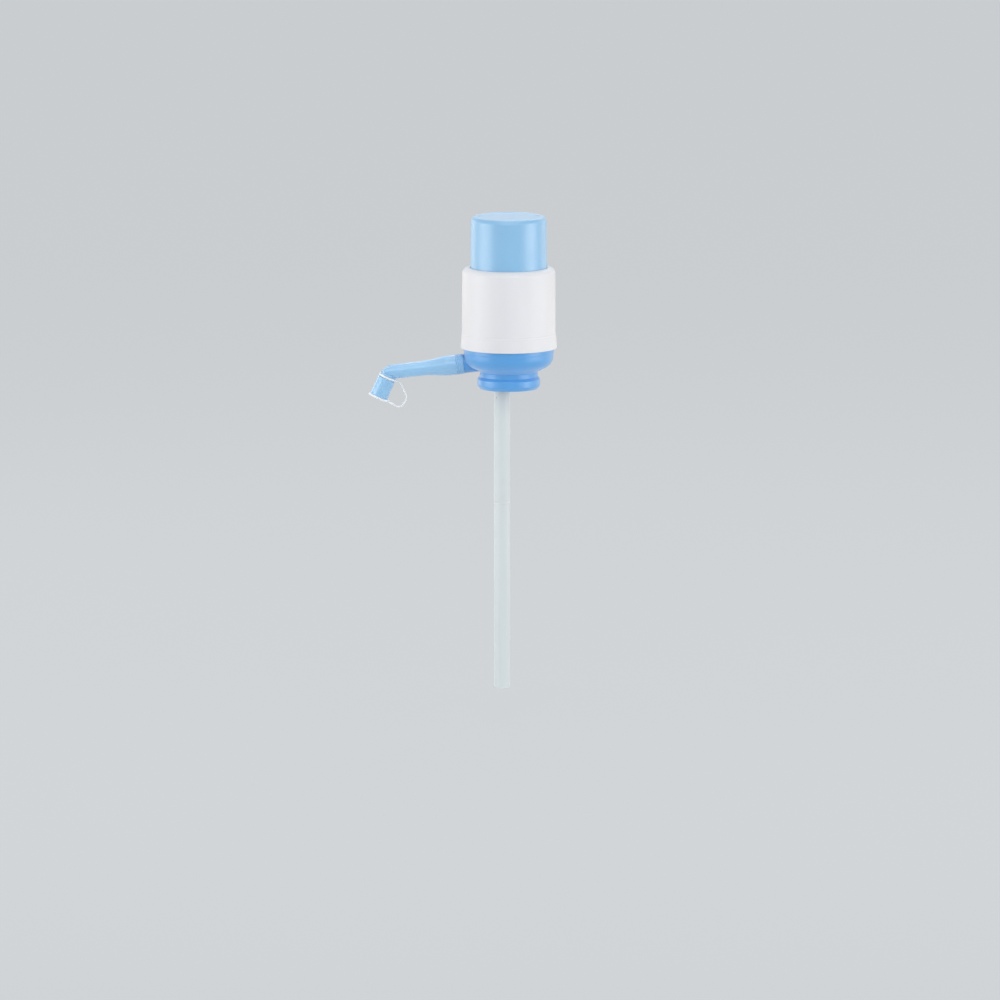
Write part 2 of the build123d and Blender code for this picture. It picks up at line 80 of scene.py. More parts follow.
# Fineness of the meshes, with angles in degrees
round_segments = 160
spout_segments = 144
tube_segments = 80
small_segments = 72
arc_step = 9.0
least_turn = 2.0
sharp_angle = 38.0

# The usual rounding of an edge, and the least one that is drawn
soft_edge = 0.25
least_rounding = 0.001

# Share of a side that the roundings at its ends may use, and what keeps it from a division by nothing
usable_share = 0.98
share_guard = 0.01

# A smaller radius counts as on the axis
on_axis = 1e-6

# How far a piece stays inside the solid it stands for
skin = 0.02

# How far a rib runs into the wall it grows from, and a cutter past the face it opens
root_overlap = 0.5
overrun = 1.0


def heights(node):
    """Lowest and highest point of a node, in millimetres."""
    low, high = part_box(node)
    return low.z / MM, high.z / MM


def reach(node):
    """Largest distance of a node from the middle plane, in millimetres."""
    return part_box(node)[1].y / MM


def joint_named(name):
    """A joint of the model."""
    return [joint for joint in frame["joints"] if joint["name"] == name][0]


# Seal and snap skirt, upwards from the foot of the base
crown_height = 6.5
lip_height = 2.6
foot_height = -crown_height - lip_height
lip_radius = 25.9
lip_wall = 1.5
lip_lead_in = 0.5
lip_slope = 0.8
groove_radius = 27.75
groove_top = 0.3
skirt_radius = 29.7
skirt_side_rise = 0.5
skirt_rounding = 1.4
neck_radius = 27.3
neck_bore = 25.4
neck_shoulder_height = 2.4
neck_top = 7.0
seal_top = heights("neck_seal")[1]
deck_thickness = 2.5
deck_top = seal_top + deck_thickness
air_hole_radius = 3.0
air_hole_place = 10.0

# Bowl and sleeve
seam_gap = 0.2
sleeve_low, sleeve_top = heights("body_sleeve")
seam_height = sleeve_low - seam_gap
bowl_band_height = 4.0
bowl_band_step = 0.3
bowl_band_edge = 0.2
bowl_radius = reach("base_housing") - bowl_band_step
bowl_wall = 2.2
bowl_bore = bowl_radius - bowl_wall
bowl_corner_height = 14.8
bowl_rounding = 12.0
bowl_inner_corner = 6.0
bowl_inner_rounding = 4.0
tongue_radius = bowl_radius - 2 * seam_gap
tongue_height = 11.0
tongue_top = sleeve_low + tongue_height
ledge_height = heights("plate_gasket")[0]
ledge_width = 2.0
ledge_edge = 1.0

# Three guides in the sleeve run in three notches of the cap's flange
guide_angles = range(0, 360, 120)

# Spout and its socket, outwards from the socket's mouth
socket_mouth = Vector(joint_named("spout_swivel")["pos_m"]) / MM
spout_way = Vector(joint_named("spout_swivel")["axis"]).normalized()
socket_radius = 8.9
socket_bore = 6.9
socket_depth = 14.0
socket_floor = 2.0
gallery_bore = 4.4
gallery_wall = 1.8
gallery_radius = gallery_bore + gallery_wall
tenon_radius = 6.85
tenon_gap = 0.1
spout_radius = 6.9
spout_reach = 70.5
spout_root_radius = reach("spout_tube") - skin
spout_root_length = 17.0
spout_taper_length = 35.0
grip_low = 0.6
grip_high = 7.6
grip_depth = 0.4
elbow_bevel = 5.45

# Nozzle and dust cap, down from the elbow
nozzle_way = Vector(joint_named("dust_cap_pull")["axis"]).normalized()
nozzle_radius = 6.7
nozzle_length = 22.0
collar_place = 2.7
collar_height = 1.5
collar_radius = 8.3
dust_cap_rim = 6.6
dust_cap_length = 19.3
dust_cap_end = dust_cap_rim + dust_cap_length
dust_cap_radius = 8.4
dust_cap_draft = 0.3
dust_cap_bore = 6.78
dust_cap_floor = 1.6

# Strap: its ring, its end cup, and the places and bends of its band
strap_gap = 0.15
ring_gap = 0.1
ring_place = collar_place + collar_height + ring_gap
ring_height = 2.0
end_cup_bore = dust_cap_radius + dust_cap_draft + strap_gap
end_cup_wall = 1.2
end_cup_floor = 0.9
end_cup_end = dust_cap_end + strap_gap + end_cup_floor
end_cup_height = 1.9
end_cup_edge = 0.5
strap_start = 1.1
strap_sag = 1.2
strap_low_reach = 23.2
strap_far_reach = 25.4
strap_far_place = 16.0
strap_high_reach = 13.5
strap_into_ring = 0.95
strap_bends = (6.0, 7.0, 4.0)
strap_half_width = 2.0
strap_half_thickness = 0.72
strap_tab_length = 7.5
strap_tab_extra_width = 1.0
strap_tab_extra_thickness = 0.4

# Dip tube
tube_radius = reach("lower_dip_tube")
tube_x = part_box("lower_dip_tube")[0].x / MM + tube_radius
tube_bore = 6.15
plug_radius = 6.1
plug_length = 14.0


def rounding_of(corner):
    """Rounding of a corner, the usual soft edge where it names none."""
    return corner[2] if len(corner) > 2 else soft_edge


def room_beside(corner, neighbour):
    """Length of the side between two corners that the first may use, shared by their roundings."""
    side = (Vector(neighbour[:2]) - Vector(corner[:2])).length
    both = rounding_of(corner) + rounding_of(neighbour) + share_guard
    return usable_share * side * rounding_of(corner) / both


def rounded(before, corner, after, rounding, room):
    """Points of the arc that takes the place of a corner."""
    way_back, way_on = (before - corner).normalized(), (after - corner).normalized()
    half = way_back.angle(way_on) / 2
    turn = pi - 2 * half
    rounding = min(rounding, room * tan(half))
    if turn < radians(least_turn) or rounding < least_rounding:
        return [corner]
    centre = corner + (way_back + way_on).normalized() * (rounding / sin(half))
    start = corner + way_back * (rounding / tan(half)) - centre
    end = corner + way_on * (rounding / tan(half)) - centre
    count = max(2, round(turn / radians(arc_step)))
    steps = [turn * number / count for number in range(count + 1)]
    return [centre + (start * sin(turn - step) + end * sin(step)) / sin(turn) for step in steps]


def outline(corners, closed=True):
    """Points of a profile. A corner is (x, y) with the usual soft edge, or (x, y, rounding)."""
    points = []
    count = len(corners)
    for number, corner in enumerate(corners):
        here = Vector(corner[:2])
        at_end = not closed and number in (0, count - 1)
        if at_end or abs(here.x) < on_axis:
            points.append(here)
            continue
        neighbours = corners[number - 1], corners[(number + 1) % count]
        room = min(room_beside(corner, neighbour) for neighbour in neighbours)
        before, after = (Vector(neighbour[:2]) for neighbour in neighbours)
        points += rounded(before, here, after, rounding_of(corner), room)
    return points


def bridge(mesh, loops, closed):
    """Faces between neighbouring loops of vertices, of which one may be a point, and over open ends."""
    ahead = loops[1:] + loops[:1] if closed else loops[1:]
    for loop, following in zip(loops, ahead):
        count = max(len(loop), len(following))
        if count == 1:
            continue
        for number in range(count):
            corners = [
                loop[number % len(loop)],
                loop[(number + 1) % len(loop)],
                following[(number + 1) % len(following)],
                following[number % len(following)],
            ]
            mesh.faces.new(list(dict.fromkeys(corners)))
    if not closed:
        mesh.faces.new(loops[0])
        mesh.faces.new(loops[-1])


def turned(corners, segments=round_segments):
    """Mesh turned about Z from a closed profile."""
    mesh = bmesh.new()
    turns = [2 * pi * number / segments for number in range(segments)]
    loops = []
    for point in outline(corners):
        radius, height = point.x * MM, point.y * MM
        if point.x < on_axis:
            loops.append([mesh.verts.new((0, 0, height))])
        else:
            loops.append([mesh.verts.new((radius * cos(turn), radius * sin(turn), height)) for turn in turns])
    bridge(mesh, loops, closed=True)
    return mesh


def rod(radius, low, high, edge=0.0):
    """Round bar between two heights."""
    return turned([(0, low), (radius, low, edge), (radius, high, edge), (0, high)], small_segments)


def tube(radius, bore, low, high, segments=small_segments, edge=soft_edge):
    """Round tube between two heights."""
    wall = [(bore, low, edge), (radius, low, edge), (radius, high, edge), (bore, high, edge)]
    return turned(wall, segments)


def along(origin, way):
    """Matrix that lays a turned mesh along a direction, from an origin in millimetres."""
    side = Vector((0, 1, 0))
    turn = Matrix((side, way.cross(side), way)).transposed().to_4x4()
    return Matrix.Translation(Vector(origin) * MM) @ turn


elbow = socket_mouth + spout_way * spout_reach
on_spout = along(socket_mouth, spout_way)
on_nozzle = along(elbow, nozzle_way)
on_tube = Matrix.Translation((tube_x * MM, 0, 0))
nozzle_side = Vector((-nozzle_way.z, 0, nozzle_way.x))
bevel_way = (Vector((spout_way.z, 0, -spout_way.x)) - nozzle_side).normalized()


def piece(name, mesh, place=None):
    """Object from a mesh, with its place in the mesh."""
    if place is not None:
        bmesh.ops.transform(mesh, matrix=place, verts=mesh.verts)
    bmesh.ops.recalc_face_normals(mesh, faces=mesh.faces)
    data = bpy.data.meshes.new(name)
    mesh.to_mesh(data)
    mesh.free()
    thing = bpy.data.objects.new(name, data)
    bpy.context.scene.collection.objects.link(thing)
    return thing


def block(angle, inner, outer, width, low, high):
    """Straight block between two radii and two heights, turned to an angle."""
    mesh = bmesh.new()
    bmesh.ops.create_cube(mesh, size=MM)
    size = Matrix.Diagonal((outer - inner, width, high - low, 1))
    place = Matrix.Translation(((inner + outer) / 2 * MM, 0, (low + high) / 2 * MM))
    return piece("block", mesh, Matrix.Rotation(radians(angle), 4, "Z") @ place @ size)


def combined(thing, others, operation):
    """The piece with other pieces joined to it or cut out of it."""
    for other in others:
        change = thing.modifiers.new("change", "BOOLEAN")
        change.operation = operation
        change.solver = "EXACT"
        change.object = other
        with bpy.context.temp_override(object=thing, active_object=thing, selected_objects=[thing]):
            bpy.ops.object.modifier_apply(modifier=change.name)
        bpy.data.objects.remove(other)
    return thing


def finished(thing, material, body=None, nodes=()):
    """Smooth shading, material, body and the nodes that the piece stands for."""
    thing.data.shade_smooth()
    thing.data.set_sharp_from_angle(angle=radians(sharp_angle))
    thing.data.materials.clear()
    thing.data.materials.append(material)
    if body:
        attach(thing, body)
    if nodes:
        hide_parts(*nodes)
    return thing


# Materials


def nodes_of(name):
    """New material with its node tree, surface shader and object coordinates."""
    material = bpy.data.materials.new(name)
    material.use_nodes = True
    tree = material.node_tree
    shader = tree.nodes["Principled BSDF"]
    places = tree.nodes.new("ShaderNodeTexCoord")
    return material, tree, shader, places.outputs["Object"]


def noise(tree, places, scale, detail, stretch=(1, 1, 1)):
    """Noise with features of about 1 / scale metres."""
    mapping = tree.nodes.new("ShaderNodeMapping")
    mapping.inputs["Scale"].default_value = stretch
    texture = tree.nodes.new("ShaderNodeTexNoise")
    texture.inputs["Scale"].default_value = scale
    texture.inputs["Detail"].default_value = detail
    tree.links.new(places, mapping.inputs["Vector"])
    tree.links.new(mapping.outputs["Vector"], texture.inputs["Vector"])
    return texture.outputs["Fac"]


def spread(tree, value, low, high, start=0.3, end=0.7):
    """A texture's middle range spread between two values."""
    node = tree.nodes.new("ShaderNodeMapRange")
    node.inputs["From Min"].default_value = start
    node.inputs["From Max"].default_value = end
    node.inputs["To Min"].default_value = low
    node.inputs["To Max"].default_value = high
    tree.links.new(value, node.inputs["Value"])
    return node.outputs["Result"]


def tint(tree, shader, share, first, second):
    """Base colour that wanders between two colours."""
    node = tree.nodes.new("ShaderNodeMix")
    node.data_type = "RGBA"
    # The names of this node's sockets repeat for each kind of data, so those for colours go by number
    first_socket, second_socket, result = node.inputs[6], node.inputs[7], node.outputs[2]
    tree.links.new(share, node.inputs[0])
    first_socket.default_value = (*first, 1)
    second_socket.default_value = (*second, 1)
    tree.links.new(result, shader.inputs["Base Color"])


def bump(tree, shader, height, depth):
    """Fine relief on the shader, depth in metres."""
    node = tree.nodes.new("ShaderNodeBump")
    node.inputs["Strength"].default_value = 1.0
    node.inputs["Distance"].default_value = depth
    tree.links.new(height, node.inputs["Height"])
    tree.links.new(node.outputs["Normal"], shader.inputs["Normal"])


def linear(*channels):
    """Linear colour of an sRGB one with channels from 0 to 255."""
    values = [channel / 255 for channel in channels]
    return tuple(v / 12.92 if v <= 0.04045 else ((v + 0.055) / 1.055) ** 2.4 for v in values)


def plastic(name, colour, roughness, shine=0.5, frost=0.0, glow=0.08):
    """Moulded plastic: cloudy tint with flow marks, uneven gloss and a faint waviness."""
    material, tree, shader, places = nodes_of(name)
    flow = (1, 1, 0.25)
    darker, lighter, lift = 0.96, 1.03, 0.004
    smoothest, roughest = roughness * 0.9, roughness * 1.12
    deep = tuple(channel * darker for channel in colour)
    pale = tuple(min(1, channel * lighter + lift) for channel in colour)
    cloud = noise(tree, places, scale=28, detail=2, stretch=flow)
    tint(tree, shader, spread(tree, cloud, low=0, high=1), deep, pale)
    wear = noise(tree, places, scale=45, detail=1)
    gloss = spread(tree, wear, smoothest, roughest, start=0.2, end=0.8)
    tree.links.new(gloss, shader.inputs["Roughness"])
    bump(tree, shader, noise(tree, places, scale=120, detail=0), depth=0.00001)
    shader.inputs["IOR"].default_value = 1.49
    shader.inputs["Specular IOR Level"].default_value = shine
    shader.inputs["Sheen Weight"].default_value = frost
    shader.inputs["Sheen Roughness"].default_value = 0.45
    shader.inputs["Subsurface Weight"].default_value = glow
    shader.inputs["Subsurface Radius"].default_value = (0.6, 0.8, 1.0)
    shader.inputs["Subsurface Scale"].default_value = 0.0015
    return material


def clear_plastic(name, colour, roughness, see_through):
    """Clear soft plastic that lets part of the light through, with drawn lines along it."""
    material, tree, shader, places = nodes_of(name)
    drawn = (1, 1, 0.03)
    darker = 0.95
    smoothest, roughest = roughness * 0.9, roughness * 1.15
    deep = tuple(channel * darker for channel in colour)
    streak = noise(tree, places, scale=260, detail=2, stretch=drawn)
    tint(tree, shader, spread(tree, streak, low=0, high=1, start=0.2, end=0.8), deep, colour)
    wear = noise(tree, places, scale=120, detail=2)
    gloss = spread(tree, wear, smoothest, roughest, start=0.2, end=0.8)
    tree.links.new(gloss, shader.inputs["Roughness"])
    bump(tree, shader, noise(tree, places, scale=260, detail=1, stretch=drawn), depth=0.00001)
    shader.inputs["IOR"].default_value = 1.3
    shader.inputs["Transmission Weight"].default_value = see_through
    return material


def rubber(name, colour):
    """Soft matt rubber with a little dust."""
    material, tree, shader, places = nodes_of(name)
    dust_share = 0.4
    dusty = tuple(channel + (1 - channel) * dust_share for channel in colour)
    dust = spread(tree, noise(tree, places, scale=420, detail=5), low=0, high=0.5, start=0.5, end=0.75)
    tint(tree, shader, dust, colour, dusty)
    tree.links.new(spread(tree, dust, low=0.55, high=0.75), shader.inputs["Roughness"])
    bump(tree, shader, noise(tree, places, scale=1800, detail=3), depth=0.00002)
    return material


def steel(name):
    """Drawn steel wire and screws."""
    material, tree, shader, places = nodes_of(name)
    dark, pale = (0.42, 0.43, 0.44), (0.62, 0.63, 0.65)
    drawn = (1, 1, 0.2)
    shade = spread(tree, noise(tree, places, scale=900, detail=4, stretch=drawn), low=0, high=1)
    tint(tree, shader, shade, dark, pale)
    tree.links.new(spread(tree, shade, low=0.22, high=0.38), shader.inputs["Roughness"])
    bump(tree, shader, noise(tree, places, scale=2200, detail=2), depth=0.00001)
    shader.inputs["Metallic"].default_value = 1.0
    return material


cap_blue = plastic("cap_blue", linear(138, 190, 229), roughness=0.38, shine=1.0, frost=0.35)
base_blue = plastic("base_blue", linear(76, 159, 226), roughness=0.38, shine=1.0, frost=0.6)
spout_blue = plastic("spout_blue", linear(147, 197, 236), roughness=0.32, shine=1.0, frost=0.35)
sleeve_white = plastic("sleeve_white", linear(229, 229, 233), roughness=0.5, shine=0.4)
inner_white = plastic("inner_white", linear(226, 228, 230), roughness=0.42)
bellows_white = plastic("bellows_white", linear(214, 222, 230), roughness=0.38)
tube_clear = clear_plastic("tube_clear", linear(236, 243, 245), roughness=0.30, see_through=0.20)
strap_milky = plastic("strap_milky", linear(236, 240, 244), roughness=0.36, glow=0.0)
seal_rubber = rubber("seal_rubber", linear(206, 210, 214))
drawn_steel = steel("drawn_steel")


# Press cap and sleeve


def press_cap():
    """Cap with a crowned rim round its shallow dish, and the flange inside the sleeve."""
    low, top = heights("press_cap")
    flange_radius = reach("press_cap") - skin
    flange_thickness = 2.5
    flange_top = low + flange_thickness
    foot_radius = 36.15
    foot_step = 0.05
    rim_radius = 35.75
    rim_rounding = 5.0
    rim_width = 6.5
    rim_inner_radius = rim_radius - rim_width
    dish_depth = 0.6
    wall = 2.0
    ceiling = top - dish_depth - wall
    mesh = turned(
        [
            (foot_radius - wall, low),
            (flange_radius, low),
            (flange_radius, flange_top),
            (foot_radius + foot_step, flange_top, 0.4),
            (rim_radius, top, rim_rounding),
            (rim_inner_radius, top, 1.6),
            (rim_inner_radius - 2 * dish_depth, top - dish_depth, 1.2),
            (0, top - dish_depth),
            (0, ceiling),
            (rim_radius - wall, ceiling, 1.0),
        ]
    )
    shell = piece("press_cap_shell", mesh)
    combined(shell, push_ribs(ceiling), "UNION")
    combined(shell, guide_notches(low - overrun, flange_top), "DIFFERENCE")
    return finished(shell, cap_blue, "plunger", ["press_cap"])


def push_ribs(ceiling):
    """Ribs under the cap's ceiling that press on the head of the bellows."""
    inner, outer, width, height = 8.0, 24.0, 1.6, 3.7
    low, high = ceiling - height, ceiling + root_overlap
    return [block(angle, inner, outer, width, low, high) for angle in range(0, 360, 60)]


def guide_notches(low, flange_top):
    """Notches in the cap's flange for the guides of the sleeve."""
    inner, outer, width = 40.1, 42.5, 3.2
    clear_of_flange = 0.01
    high = flange_top + clear_of_flange
    return [block(angle, inner, outer, width, low, high) for angle in guide_angles]


def body_sleeve():
    """Sleeve with a flared foot, a faint step above it and a round shoulder."""
    foot_radius = reach("body_sleeve") - skin
    bore = 42.1
    wall = 2.2
    side = bore + wall
    draft = 0.2
    shoulder_rounding = 6.25
    opening = 36.45
    band_height = 13.1
    band_top = sleeve_low + band_height
    band_step = 0.3
    ceiling = sleeve_top - wall
    guide_depth = 1.6
    guide_width = 2.4
    guide_gap = 0.1
    mesh = turned(
        [
            (bore, sleeve_low),
            (foot_radius, sleeve_low, 0.6),
            (side + band_step, band_top, 0.4),
            (side, band_top + band_step, 0.3),
            (side - draft, sleeve_top, shoulder_rounding),
            (opening, sleeve_top, 0.6),
            (opening, ceiling),
            (bore, ceiling, 1.0),
        ]
    )
    shell = piece("body_sleeve_shell", mesh)
    inner, outer = bore - guide_depth, bore + root_overlap
    low, high = tongue_top + guide_gap, ceiling + root_overlap
    guides = [block(angle, inner, outer, guide_width, low, high) for angle in guide_angles]
    combined(shell, guides, "UNION")
    return finished(shell, sleeve_white, "base", ["body_sleeve"])


# Base


def bowl_height_inside(radius):
    """Height of the bowl's inner cone at a radius."""
    slope = (bowl_corner_height - neck_top) / (bowl_radius - neck_radius)
    return neck_top + (radius - neck_radius) * slope + (bowl_radius - bowl_bore) * (1 + slope**2) ** 0.5


def base_wall():
    """Skirt, neck, bowl and tongue in one turned wall."""
    shoulder = neck_shoulder_height - skirt_radius + neck_radius
    side = bowl_radius - skin
    band = bowl_radius + bowl_band_step - skin
    band_low = seam_height - bowl_band_height
    ledge_radius = bowl_bore - ledge_width
    ledge_low = ledge_height - ledge_edge
    floor_radius = bowl_bore - bowl_inner_corner
    return turned(
        [
            (lip_radius + lip_lead_in, foot_height),
            (lip_radius + lip_wall, foot_height),
            (skirt_radius, skirt_side_rise - crown_height, skirt_rounding),
            (skirt_radius, shoulder, skirt_rounding),
            (neck_radius, neck_shoulder_height, 0.5),
            (neck_radius, neck_top, 0.9),
            (side, bowl_corner_height, bowl_rounding),
            (side, band_low, bowl_band_edge),
            (band, band_low + bowl_band_step, bowl_band_edge),
            (band, seam_height),
            (tongue_radius, seam_height),
            (tongue_radius, tongue_top),
            (bowl_bore, tongue_top),
            (bowl_bore, ledge_height),
            (ledge_radius, ledge_height),
            (ledge_radius, ledge_low),
            (bowl_bore, ledge_low - ledge_width),
            (bowl_bore, bowl_corner_height + bowl_inner_corner, bowl_inner_rounding),
            (floor_radius, bowl_height_inside(floor_radius), bowl_inner_rounding),
            (neck_bore, bowl_height_inside(neck_bore)),
            (neck_bore, deck_top),
            (0, deck_top),
            (0, seal_top),
            (neck_bore, seal_top),
            (neck_bore, groove_top),
            (groove_radius, groove_top),
            (groove_radius, -crown_height),
            (lip_radius, -crown_height - lip_slope),
            (lip_radius, foot_height + lip_lead_in),
        ]
    )


def base_housing():
    """Blue moulding with the snap skirt: wall, spout socket, gallery and the dip tube's spigot."""
    run = (tube_x - socket_mouth.x) / -spout_way.x
    bend_height = socket_mouth.z + run * -spout_way.z
    spigot_low = seal_top - plug_length
    shell = piece("base_shell", base_wall())
    added = [
        piece("socket", rod(socket_radius, -socket_depth - socket_floor, 0, edge=0.35), on_spout),
        piece("gallery", rod(gallery_radius, -run, -socket_depth), on_spout),
        piece("riser", rod(gallery_radius, seal_top, bend_height + gallery_radius), on_tube),
        piece("spigot", rod(plug_radius, spigot_low, deck_top, edge=0.3), on_tube),
    ]
    combined(shell, added, "UNION")
    at_air_hole = Matrix.Translation((air_hole_place * MM, 0, 0))
    cut = [
        piece("cut", rod(socket_bore, -socket_depth, socket_depth), on_spout),
        piece("cut", rod(gallery_bore, -run, overrun - socket_depth), on_spout),
        piece("cut", rod(gallery_bore, spigot_low - overrun, bend_height), on_tube),
        piece("cut", rod(air_hole_radius, seal_top - overrun, deck_top + overrun), at_air_hole),
    ]
    combined(shell, cut, "DIFFERENCE")
    return finished(shell, base_blue, "base", ["base_housing"])


# Spout, dust cap and strap


def spout():
    """Spout with its tenon, thick root, slender round end and nozzle, and the way for the water."""
    shell = piece("spout_shell", barrel(), on_spout)
    combined(shell, [piece("end", nozzle(), on_nozzle)], "UNION")
    combined(shell, [piece("grip", grip(), on_spout)], "UNION")
    inner_ball = bmesh.new()
    bmesh.ops.create_uvsphere(inner_ball, u_segments=48, v_segments=24, radius=gallery_bore * MM)
    cut = [
        piece("cut", rod(gallery_bore, -socket_depth - overrun, spout_reach), on_spout),
        piece("cut", inner_ball, on_spout @ Matrix.Translation((0, 0, spout_reach * MM))),
        piece("cut", rod(gallery_bore, 0, nozzle_length + overrun), on_nozzle),
        beyond_bevel(),
    ]
    combined(shell, cut, "DIFFERENCE")
    return finished(shell, spout_blue, "spout", ["spout_tube"])


def barrel():
    """Tenon, root with a recess under the grip, taper and round end."""
    tenon_end = tenon_gap - socket_depth
    recess_radius = spout_root_radius - 1.5 * grip_depth
    taper_corner = spout_root_length + spout_taper_length / 2
    root_rounding, taper_rounding = 4.0, 90.0
    return turned(
        [
            (0, tenon_end),
            (tenon_radius, tenon_end, 0.6),
            (tenon_radius, tenon_gap),
            (spout_root_radius, tenon_gap, 0.35),
            (spout_root_radius, grip_low, 0.1),
            (recess_radius, grip_low + grip_depth, 0.1),
            (recess_radius, grip_high - grip_depth, 0.1),
            (spout_root_radius, grip_high, 0.1),
            (spout_root_radius, spout_root_length, root_rounding),
            (spout_radius, taper_corner, taper_rounding),
            (spout_radius, spout_reach + spout_radius, spout_radius),
            (0, spout_reach + spout_radius),
        ],
        spout_segments,
    )


def nozzle():
    """Nozzle with the collar that stops the strap's ring."""
    return turned(
        [
            (0, 0),
            (nozzle_radius, 0),
            (nozzle_radius, collar_place, 0.3),
            (collar_radius, collar_place, 0.3),
            (collar_radius, collar_place + collar_height, 0.3),
            (nozzle_radius, collar_place + collar_height),
            (nozzle_radius, nozzle_length, 0.6),
            (0, nozzle_length),
        ],
        spout_segments,
    )


def beyond_bevel():
    """Block over the flat bevel on the outside of the elbow."""
    size = 3 * spout_radius
    mesh = bmesh.new()
    bmesh.ops.create_cube(mesh, size=size * MM)
    middle = elbow + bevel_way * (elbow_bevel + size / 2)
    turn = bevel_way.to_track_quat("Z", "Y").to_matrix().to_4x4()
    return piece("block", mesh, Matrix.Translation(middle * MM) @ turn)


def grip():
    """Diamonds between crossed grooves round the root of the spout, as a closed band."""
    diamonds_around, diamonds_along, steps = 12, 3, 14
    groove_half_width = 2 / steps
    columns, rows = diamonds_around * steps, diamonds_along * steps
    inner = spout_root_radius - 4 * grip_depth
    mesh = bmesh.new()
    loops = []
    for row in range(-1, rows + 2):
        inside = row in (-1, rows + 1)
        share = min(max(row, 0), rows) / rows
        height = grip_low + (grip_high - grip_low) * share
        loop = []
        for column in range(columns):
            u, v = column / steps, share * diamonds_along
            to_groove = min(groove_distance(u + v), groove_distance(u - v))
            depth = grip_depth * max(0.0, 1 - to_groove / groove_half_width)
            radius = inner if inside else spout_root_radius - depth
            turn = 2 * pi * column / columns
            loop.append(mesh.verts.new(Vector((radius * cos(turn), radius * sin(turn), height)) * MM))
        loops.append(loop)
    bridge(mesh, loops, closed=True)
    return mesh


def groove_distance(value):
    """Distance to the nearest groove, from 0 to 0.5."""
    return abs(value - round(value))


def dust_cap():
    """Cup that closes the nozzle."""
    mesh = turned(
        [
            (dust_cap_bore, dust_cap_rim),
            (dust_cap_radius, dust_cap_rim, 0.5),
            (dust_cap_radius + dust_cap_draft - skin, dust_cap_end, 0.4),
            (0, dust_cap_end),
            (0, dust_cap_end - dust_cap_floor),
            (dust_cap_bore, dust_cap_end - dust_cap_floor, 0.6),
        ],
        spout_segments,
    )
    shell = piece("dust_cap_shell", mesh, on_nozzle)
    return finished(shell, spout_blue, "stopper", ["dust_cap"])


def strap_band():
    """Thin band from the end cup round to the ring, wider and thicker where it leaves the cup."""
    sides = 16
    ring_middle = ring_place + ring_height / 2
    low_bend, far_bend, high_bend = strap_bends
    route = outline(
        [
            (end_cup_bore + end_cup_wall / 2, end_cup_end - strap_start),
            (strap_low_reach, end_cup_end + strap_sag, low_bend),
            (strap_far_reach, strap_far_place, far_bend),
            (strap_high_reach, ring_middle, high_bend),
            (nozzle_radius + strap_into_ring, ring_middle),
        ],
        closed=False,
    )
    mesh = bmesh.new()
    travelled = 0.0
    loops = []
    for number, point in enumerate(route):
        before = route[max(number - 1, 0)]
        after = route[min(number + 1, len(route) - 1)]
        travelled += (point - before).length
        way = (after - before).normalized()
        normal = Vector((-way.y, way.x))
        tab = max(0.0, 1 - travelled / strap_tab_length)
        half_width = strap_half_width + strap_tab_extra_width * tab
        half_thickness = strap_half_thickness + strap_tab_extra_thickness * tab
        loop = []
        for side in range(sides):
            turn = 2 * pi * side / sides
            across = half_width * flattened(cos(turn))
            spot = point + normal * (half_thickness * flattened(sin(turn)))
            place = elbow + nozzle_side * spot.x + nozzle_way * spot.y + Vector((0, across, 0))
            loop.append(mesh.verts.new(place * MM))
        loops.append(loop)
    bridge(mesh, loops, closed=False)
    return mesh


def flattened(value):
    """Cosine or sine pushed outwards, so that a round section becomes a soft-cornered flat one."""
    corner_softness = 0.45
    return (1 if value > 0 else -1) * abs(value) ** corner_softness


def cap_strap():
    """Soft clear moulding: end cup on the dust cap, band, and ring on the nozzle."""
    outer = end_cup_bore + end_cup_wall - skin
    rim = end_cup_end - end_cup_height
    floor_height = end_cup_end - end_cup_floor
    cup = turned(
        [
            (end_cup_bore, rim),
            (end_cup_bore + end_cup_edge, rim, 0.15),
            (outer, floor_height, 0.4),
            (outer, end_cup_end - skin, 0.3),
            (0, end_cup_end - skin),
            (0, floor_height),
            (end_cup_bore, floor_height),
        ],
        small_segments,
    )
    anchor = tube(collar_radius, nozzle_radius + strap_gap, ring_place, ring_place + ring_height)
    strap = piece("cap_strap_moulding", cup, on_nozzle)
    combined(strap, [piece("band", strap_band()), piece("anchor", anchor, on_nozzle)], "UNION")
    finished(strap, strap_milky, None, ["cap_strap"])
    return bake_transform(strap)


# Dip tube


def dip_tube(node, name):
    """One length of drawn tube."""
    low, high = heights(node)
    mesh = tube(tube_radius - skin, tube_bore, low, high, tube_segments, edge=0.3)
    return finished(piece(name, mesh, on_tube), tube_clear, "base", [node])


# Bellows and spring


def bellows():
    """Blown air chamber with round-edged folds."""
    low, high = heights("bellows")
    folds = 8
    cuff = 5.0
    crest, crest_rounding = reach("bellows") - skin, 1.2
    valley, valley_rounding = 26.7, 1.0
    wall = 0.9
    fold = (high - low - 2 * cuff) / folds
    outside = [(valley, low), (valley, low + cuff, valley_rounding)]
    for number in range(folds):
        outside.append((crest, low + cuff + fold * (number + 0.5), crest_rounding))
        outside.append((valley, low + cuff + fold * (number + 1), valley_rounding))
    outside.append((valley, high))
    inside = [(corner[0] - wall, *corner[1:]) for corner in outside]
    shell = piece("bellows_shell", turned(outside + inside[::-1]))
    finished(shell, bellows_white, "base", ["bellows"])
    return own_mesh(shell)


